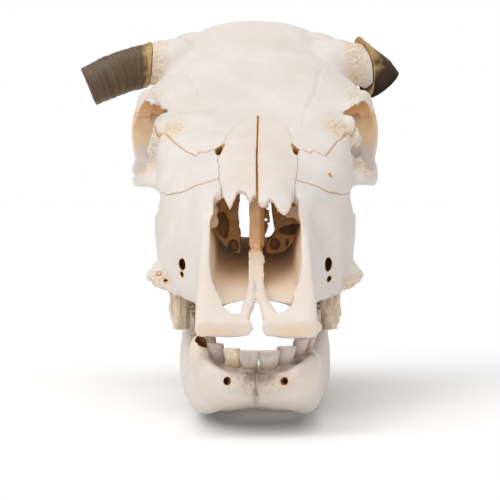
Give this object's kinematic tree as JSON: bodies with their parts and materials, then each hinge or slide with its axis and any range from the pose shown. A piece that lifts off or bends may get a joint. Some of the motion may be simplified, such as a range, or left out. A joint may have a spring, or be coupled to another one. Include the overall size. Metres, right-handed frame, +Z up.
{
  "type": "bull skull",
  "caption": "Life-size bull skull with its lower jaw and two sawn-off horns, a still museum display model that rests on the jaw.",
  "frame": {"origin": "on the floor below the middle of the skull, at the bottom centre of its box", "axes": "-Y towards the muzzle, +X towards the picture's right (the animal's left), +Z up from the floor"},
  "size_m": [0.3217, 0.4816, 0.3559],
  "materials": {
    "bone": "dry bleached bone, matt with a slight polish on the forehead",
    "inner_bone": "stained inner bone, matt",
    "horn": "dark horn, satin"
  },
  "bodies": {
    "root": {"braincase": "bone", "cheek_left": "bone", "cheek_right": "bone", "frontal": "bone", "horn_left": "horn", "horn_right": "horn", "jaw_left": "bone", "jaw_right": "bone", "lacrimal_left": "bone", "lacrimal_right": "bone", "maxilla_left": "bone", "maxilla_right": "bone", "nasal_left": "bone", "nasal_right": "bone", "premaxilla_left": "bone", "premaxilla_right": "bone", "vomer": "inner_bone"}
  },
  "joints": []
}
